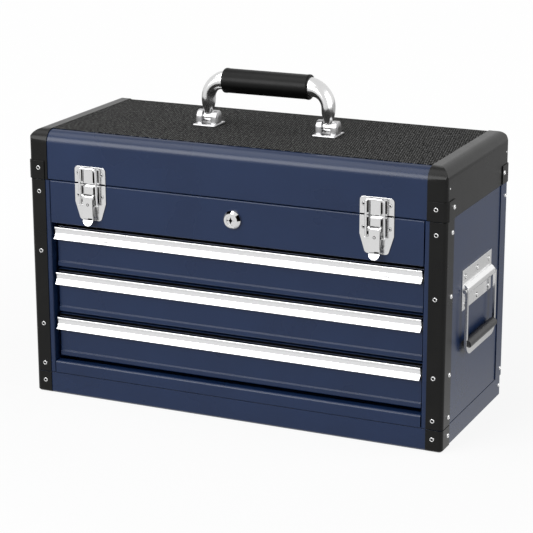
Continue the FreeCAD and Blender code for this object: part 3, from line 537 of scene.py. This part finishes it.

# Lock: a turned ring with a deep chamfer round the plug, and the plug's star shaped keyhole.
# The ring's profile is (radius, depth behind its front). Painted dark reflections are spans of degrees
# round the chamfer, whose faces lean this much to the front. Dots are (across, up, radius).
lock = {"x": 4.0, "z": 242.3, "front": -111.9, "plugFront": -111.5,
        "ring": [(5.45, 0), (8.1, 0), (8.5, 0.35), (10.8, 3.6), (10.8, 5.95), (8.0, 5.95), (8.0, 19.0),
                 (5.45, 19.0)],
        "steps": 60, "lean": (0.2, 0.9), "dark": ((93, 129), (3, 42)), "long": 4.0, "wide": 2.5,
        "waist": 1.75, "dots": ((-4.1, 0, 0.75), (4.0, 0, 0.35)), "dotSteps": 12, "tipWithin": 0.01,
        "thick": 0.2, "sunk": 0.1}


def lockRing():
    bm = bmesh.new()
    profile = [(radius, lock["front"] + depth, 0) for radius, depth in lock["ring"]]
    turnedShape(bm, profile, (0, 1, 0), lock["steps"])
    for face in bm.faces:
        # the chamfer mirrors the white studio; two black patches on it are painted reflections of dark
        # things
        spot = face.calc_center_median()
        angle = degrees(atan2(spot.z, spot.x))
        isChamfer = lock["lean"][0] < -face.normal.y < lock["lean"][1]
        if isChamfer and any(low < angle < high for low, high in lock["dark"]):
            face.material_index = 1
    bmesh.ops.translate(bm, vec=(lock["x"], 0, lock["z"]), verts=bm.verts)
    toMetres(bm)
    makePiece(bm, "lockRing", "plating", "case", ["lock_barrel"], 20.0, ["shadow"])


def keyhole():
    bm = bmesh.new()
    # the keyhole is a black star in the shade finish, painted shade for its dark opening
    for vert in bmesh.ops.create_circle(bm, cap_ends=True, segments=8, radius=1.0)["verts"]:
        if min(abs(vert.co.x), abs(vert.co.y)) < lock["tipWithin"]:
            vert.co = Vector((vert.co.x * lock["wide"], vert.co.y * lock["long"], 0))
        else:
            vert.co *= lock["waist"]
    for across, up, radius in lock["dots"]:
        made = bmesh.ops.create_circle(bm, cap_ends=True, segments=lock["dotSteps"], radius=radius)["verts"]
        bmesh.ops.translate(bm, vec=(across, up, 0), verts=made)
    grown = bmesh.ops.extrude_face_region(bm, geom=bm.faces[:])["geom"]
    raised = [part for part in grown if isinstance(part, bmesh.types.BMVert)]
    bmesh.ops.translate(bm, vec=(0, 0, lock["thick"]), verts=raised)
    bmesh.ops.recalc_face_normals(bm, faces=bm.faces)
    place = Matrix.Translation((lock["x"], lock["plugFront"] + lock["sunk"], lock["z"]))
    bmesh.ops.transform(bm, matrix=place @ facing["-y"], verts=bm.verts)
    toMetres(bm)
    makePiece(bm, "lockKeyhole", "shadow", bodyOf["lock_plug"])


lockRing()
keyhole()
print("lock made")

# Drawer fronts: the folded edge above each pull lies in the gap, in deep shade, so a black strip of painted
# shade covers it, between the pull's top and the fold's.
gapShade = {"low": 0.8, "proud": 0.25, "tucked": 0.4, "under": 0.15}


def drawerGapShades():
    for index in (1, 2, 3):
        pullHigh = cornersOf("drawer_%d_pull" % index)[1]
        boxLow, boxHigh = cornersOf("drawer_%d_box" % index)
        bm = bmesh.new()
        addBlock(bm, (-pullHigh.x, boxLow.y - gapShade["proud"], pullHigh.z + gapShade["low"]),
                 (pullHigh.x, boxLow.y + gapShade["tucked"], boxHigh.z - gapShade["under"]))
        toMetres(bm)
        makePiece(bm, "drawerSeal_%d" % index, "shadow", bodyOf["drawer_%d_box" % index])


drawerGapShades()
print("drawer gap shades made")

# Blind rivets: a low domed head with the pulled stem's hole in the middle, painted black as shade. The head
# is (radius, height), and a shade ring is the radius of a black disc of painted shade round a small head.
rivet = {"head": [(0, -0.4), (2.75, -0.4), (2.75, 0.25), (2.5, 0.8), (2.1, 1.1), (1.75, 1.1), (1.5, 0.8),
                  (1.45, 0.1), (0, 0.05)], "steps": 20, "holeRadius": 1.48, "shadeRingProud": 0.1,
         "latchShadeRing": 2.3, "plateShadeRing": 2.9}

# where the rivets sit: x is on the right side, and the left side mirrors it
trimRivets = {"frontX": 248, "frontY": -107, "sideX": 260, "sideY": -88,
              "heights": (37.2, 87.1, 178.0, 250.7, 15.4),
              "rear": ((260, 250.0), (260, 37.0), (258.9, 15.0)), "rearY": 98, "rearSize": 0.85}
capRivets = {"frontX": 247.5, "frontY": 108.3, "sideX": 261.3, "sideY": 88, "z": 279.5, "smallX": 260,
             "smallY": 99, "smallZ": 302, "smallSize": 0.4}
latchRivets = {"baseOff": 15.3, "baseZ": 251.7, "keeperOff": 15.4, "keeperZ": 278.0, "size": 0.75}
plateRivets = {"x": 260.4, "middleY": 1, "offs": (-41, 0, 41), "heights": (188.5, 156.0), "size": 0.8}

# each place is (x, y, z, direction it faces, size share)
caseRivets, lidRivets, latchCaseRivets, latchLidRivets, sideRivets = [], [], [], [], []
for side, outward in ((-1, "-x"), (1, "x")):
    value = trimRivets
    for z in value["heights"]:
        caseRivets.append((side * value["frontX"], value["frontY"], z, "-y", 1.0))
        caseRivets.append((side * value["sideX"], value["sideY"], z, outward, 1.0))
    for x, z in value["rear"]:
        caseRivets.append((side * x, value["rearY"], z, outward, value["rearSize"]))
    value = capRivets
    for end, direction in ((-1, "-y"), (1, "y")):
        lidRivets.append((side * value["frontX"], end * value["frontY"], value["z"], direction, 1.0))
        lidRivets.append((side * value["sideX"], end * value["sideY"], value["z"], outward, 1.0))
    for end in (-1, 1):
        small = (side * value["smallX"], end * value["smallY"], value["smallZ"])
        lidRivets.append((*small, outward, value["smallSize"]))
    value = latchRivets
    for turn in (-1, 1):
        for group, part in ((latchCaseRivets, "base"), (latchLidRivets, "keeper")):
            x = side * latch["middle"] + turn * value[part + "Off"]
            group.append((x, latch["face"], value[part + "Z"], "-y", value["size"]))
    value = plateRivets
    for off in value["offs"]:
        for z in value["heights"]:
            sideRivets.append((side * value["x"], value["middleY"] + off, z, outward, value["size"]))


def rivetMesh():
    bm = bmesh.new()
    profile = [(radius, 0, height) for radius, height in rivet["head"]]
    turnedShape(bm, profile, (0, 0, 1), rivet["steps"], closed=False)
    for face in bm.faces:
        centre = face.calc_center_median()
        if centre.xy.length < rivet["holeRadius"] and centre.z > 0:
            face.material_index = 1
    mesh = bpy.data.meshes.new("rivetPattern")
    bm.to_mesh(mesh)
    bm.free()
    return mesh


def rivetGroup(name, places, body, pattern, shadeRing=0.0):
    bm = bmesh.new()
    for x, y, z, direction, size in places:
        before = len(bm.verts)
        bm.from_mesh(pattern)
        bm.verts.ensure_lookup_table()
        place = Matrix.Translation((x, y, z)) @ facing[direction] @ Matrix.Scale(size, 4)
        bmesh.ops.transform(bm, matrix=place, verts=bm.verts[before:])
    # a black disc of painted shade under each head shows as a dark ring round it
    for x, y, z, direction, size in places if shadeRing else ():
        made = addRod(bm, shadeRing, 2 * rivet["shadeRingProud"], rivet["steps"], (x, y, z), direction)
        paintFaces(made, 1)
    toMetres(bm)
    makePiece(bm, name, "plating", body, extra=["shadow"])


pattern = rivetMesh()
rivetGroup("caseRivets", caseRivets, "case", pattern)
rivetGroup("lidRivets", lidRivets, "lid", pattern)
rivetGroup("latchBaseRivets", latchCaseRivets, "case", pattern, rivet["latchShadeRing"])
rivetGroup("latchKeeperRivets", latchLidRivets, "lid", pattern, rivet["latchShadeRing"])
rivetGroup("sideHandleRivets", sideRivets, "case", pattern, rivet["plateShadeRing"])
bpy.data.meshes.remove(pattern)
print("rivets set")

# Studio: a pale floor that turns to white away from the object, a softbox at the front left that makes the
# bright line along the lid, a weaker one overhead for its crest, and a fill for the right side. In metres
# and watts.
studio = {"floor": "#d8d8d8", "paperRough": 0.9, "floorHalf": 9.0, "floorDrop": 0.0003, "whiteNear": 0.9,
          "whiteFar": 0.99, "near": 0.35, "far": 0.95, "ambient": 0.15, "mirrorFront": 0.97,
          "mirrorBack": 0.52, "mirrorFrom": -0.1, "mirrorTo": 0.4, "aim": (0, 0, 0.17)}
softboxes = {"strip": {"place": (-0.96, -2.1, 1.25), "size": (2.0, 1.2), "watts": 58.0},
             "fill": {"place": (2.2, 0.3, 1.0), "size": (2.2, 1.8), "watts": 38.0},
             "overhead": {"place": (-0.8, -0.7, 2.3), "size": (2.2, 1.4), "watts": 26.0}}


def raysThatSee(tree):
    # 1 for the camera, mirror and glass rays, which should see the white studio
    seen = addNode(tree, "ShaderNodeLightPath")
    either = addNode(tree, "ShaderNodeMath", {"operation": "MAXIMUM"},
                     {0: seen.outputs["Is Camera Ray"], 1: seen.outputs["Is Glossy Ray"]})
    return addNode(tree, "ShaderNodeMath", {"operation": "MAXIMUM"},
                   {0: either.outputs[0], 1: seen.outputs["Is Transmission Ray"]}).outputs[0]


def paperSweep():
    material, tree, shader, spot = newMaterial("paperSweep")
    distance = addNode(tree, "ShaderNodeVectorMath", {"operation": "LENGTH"}, {0: spot})
    white = addNode(tree, "ShaderNodeMapRange",
                    {"interpolation_type": "SMOOTHSTEP",
                     "From Min": studio["near"], "From Max": studio["far"],
                     "To Min": studio["whiteNear"], "To Max": studio["whiteFar"]},
                    {"Value": distance.outputs["Value"]})
    # a mirror ray finds the floor behind the object less bright than the floor before it
    ahead = addNode(tree, "ShaderNodeSeparateXYZ", links={"Vector": spot})
    mirrored = addNode(tree, "ShaderNodeMapRange",
                       {"From Min": studio["mirrorFrom"], "From Max": studio["mirrorTo"],
                        "To Min": studio["mirrorFront"], "To Max": studio["mirrorBack"]},
                       {"Value": ahead.outputs["Y"]})
    glossy = addNode(tree, "ShaderNodeLightPath").outputs["Is Glossy Ray"]
    level = addNode(tree, "ShaderNodeMix", {"data_type": "FLOAT", 3: 1.0},
                    {"Factor": glossy, 2: white.outputs["Result"]})
    strength = addNode(tree, "ShaderNodeMix", {"data_type": "FLOAT", 2: 1.0},
                       {"Factor": glossy, 3: mirrored.outputs["Result"]})
    share = addNode(tree, "ShaderNodeMath", {"operation": "MULTIPLY"},
                    {0: raysThatSee(tree), 1: level.outputs[0]})
    shader.inputs["Base Color"].default_value = hexColour(studio["floor"])
    shader.inputs["Roughness"].default_value = studio["paperRough"]
    shader.inputs["Specular IOR Level"].default_value = 0.0
    lit = addNode(tree, "ShaderNodeEmission", links={"Strength": strength.outputs[0]})
    both = addNode(tree, "ShaderNodeMixShader",
                   links={0: share.outputs[0], 1: shader.outputs[0], 2: lit.outputs[0]})
    tree.links.new(both.outputs[0], tree.nodes["Material Output"].inputs["Surface"])
    return material


def studioFloor():
    bm = bmesh.new()
    bmesh.ops.create_grid(bm, x_segments=1, y_segments=1, size=studio["floorHalf"])
    bmesh.ops.translate(bm, vec=(0, 0, -studio["floorDrop"]), verts=bm.verts)
    mesh = bpy.data.meshes.new("studioFloor")
    bm.to_mesh(mesh)
    bm.free()
    mesh.materials.append(paperSweep())
    floor = bpy.data.objects.new("studioFloor", mesh)
    bpy.context.scene.collection.objects.link(floor)


def whiteWorld():
    world = bpy.data.worlds.new("paperWhite")
    world.use_nodes = True
    bpy.context.scene.world = world
    tree = world.node_tree
    level = addNode(tree, "ShaderNodeMapRange", {"To Min": studio["ambient"], "To Max": 1.0},
                    {"Value": raysThatSee(tree)})
    background = tree.nodes["Background"]
    background.inputs["Color"].default_value = (1, 1, 1, 1)
    tree.links.new(level.outputs["Result"], background.inputs["Strength"])


def softLight(name, value):
    data = bpy.data.lights.new(name + "Softbox", "AREA")
    data.shape = "RECTANGLE"
    data.size, data.size_y = value["size"]
    data.energy = value["watts"]
    lamp = bpy.data.objects.new(name + "Softbox", data)
    lamp.location = value["place"]
    aim = Vector(studio["aim"]) - Vector(value["place"])
    lamp.rotation_euler = aim.to_track_quat("-Z", "Y").to_euler()
    bpy.context.scene.collection.objects.link(lamp)


studioFloor()
whiteWorld()
for name, value in softboxes.items():
    softLight(name, value)

# Camera where the photograph was taken from, in millimetres and degrees; focal is in pixels
photo = {"place": (928.67, -2046.75, 805.62), "azimuth": 24.457, "elevation": 16.054, "roll": -0.135,
         "focal": 1963.7455, "pixels": 533, "sensor": 36.0}


def photoCamera():
    azimuth, elevation, roll = (radians(photo[key]) for key in ("azimuth", "elevation", "roll"))
    back = Vector((sin(azimuth) * cos(elevation), -cos(azimuth) * cos(elevation), sin(elevation)))
    right = Vector((cos(azimuth), sin(azimuth), 0))
    up = back.cross(right)
    turnedRight = right * cos(roll) + up * sin(roll)
    turnedUp = up * cos(roll) - right * sin(roll)
    data = bpy.data.cameras.new("photoCamera")
    data.sensor_width = photo["sensor"]
    data.lens = photo["sensor"] * photo["focal"] / photo["pixels"]
    camera = bpy.data.objects.new("photoCamera", data)
    turn = Matrix((turnedRight, turnedUp, back)).transposed().to_4x4()
    camera.matrix_world = Matrix.Translation(Vector(photo["place"]) / 1000) @ turn
    bpy.context.scene.collection.objects.link(camera)
    bpy.context.scene.camera = camera


photoCamera()
bpy.context.scene.view_settings.view_transform = "Standard"
print("studio and camera set")
